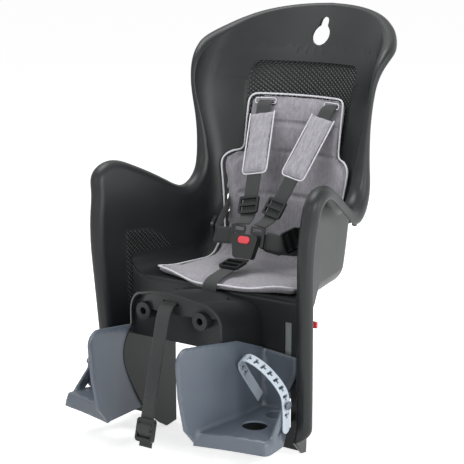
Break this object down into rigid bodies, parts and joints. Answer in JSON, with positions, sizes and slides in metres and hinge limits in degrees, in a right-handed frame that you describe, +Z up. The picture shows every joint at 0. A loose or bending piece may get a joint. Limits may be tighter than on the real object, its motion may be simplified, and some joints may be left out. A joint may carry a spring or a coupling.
{
  "type": "bicycle child seat",
  "caption": "Rear bicycle child seat: one-piece bucket with high back and leg guards, quilted liner, harness, sliding footrests with straps, and a socket block for a carrier fork.",
  "frame": {"origin": "midway between the mouths of the two fork sockets", "axes": "+Z up, the child faces -Y, +X is the child's left"},
  "size_m": [0.4902, 0.6133, 0.742],
  "materials": {
    "shell_plastic": "injection-moulded polypropylene, fine satin grain",
    "footrest_plastic": "injection-moulded polypropylene, satin grain",
    "slide_plastic": "injection-moulded nylon, smooth",
    "liner_fabric": "woven polyester over foam, quilted and piped",
    "webbing": "woven polyester webbing",
    "harness_plastic": "injection-moulded acetal, satin",
    "red_plastic": "injection-moulded, smooth",
    "strap_rubber": "soft moulded strap, satin",
    "steel": "zinc plated"
  },
  "bodies": {
    "seat": {"buckle_back": "harness_plastic", "buckle_body": "harness_plastic", "buckle_tongue_left": "harness_plastic", "buckle_tongue_right": "harness_plastic", "button_spring": "steel", "crotch_adjuster": "harness_plastic", "crotch_anchor": "harness_plastic", "crotch_strap": "webbing", "fork_block": "shell_plastic", "fork_block_screws": "steel", "liner_pad": "liner_fabric", "safety_buckle": "harness_plastic", "safety_strap": "webbing", "shell": "shell_plastic", "shoulder_adjuster_left": "harness_plastic", "shoulder_adjuster_right": "harness_plastic", "shoulder_anchor_left": "harness_plastic", "shoulder_anchor_right": "harness_plastic", "shoulder_pad_left": "liner_fabric", "shoulder_pad_right": "liner_fabric", "shoulder_strap_left": "webbing", "shoulder_strap_right": "webbing", "waist_adjuster_left": "harness_plastic", "waist_adjuster_right": "harness_plastic", "waist_anchor_left": "harness_plastic", "waist_anchor_right": "harness_plastic", "waist_strap_left": "webbing", "waist_strap_right": "webbing"},
    "footrest_left_unit": {"footrest_left": "footrest_plastic", "footrest_slide_left": "slide_plastic", "footrest_screw_left": "steel", "foot_strap_left": "strap_rubber"},
    "footrest_right_unit": {"footrest_right": "footrest_plastic", "footrest_slide_right": "slide_plastic", "footrest_screw_right": "steel", "foot_strap_right": "strap_rubber"},
    "footrest_lock_left_unit": {"footrest_lock_left": "red_plastic"},
    "footrest_lock_right_unit": {"footrest_lock_right": "red_plastic"},
    "release_button_unit": {"release_button": "red_plastic"}
  },
  "joints": [
    {"name": "footrest_left_height", "type": "slide", "parent": "seat", "child": "footrest_left_unit", "axis": [0, 0, 1], "range_m": [-0.06, 0]},
    {"name": "footrest_left_release", "type": "slide", "parent": "footrest_left_unit", "child": "footrest_lock_left_unit", "axis": [-1, 0, 0], "range_m": [0, 0.004], "stiffness_N_per_m": 600},
    {"name": "footrest_right_height", "type": "slide", "parent": "seat", "child": "footrest_right_unit", "axis": [0, 0, 1], "range_m": [-0.06, 0]},
    {"name": "footrest_right_release", "type": "slide", "parent": "footrest_right_unit", "child": "footrest_lock_right_unit", "axis": [1, 0, 0], "range_m": [0, 0.004], "stiffness_N_per_m": 600},
    {"name": "buckle_release", "type": "slide", "parent": "seat", "child": "release_button_unit", "axis": [0, 0.9659, -0.259], "range_m": [0, 0.003], "stiffness_N_per_m": 900, "deforming": ["button_spring"]}
  ]
}
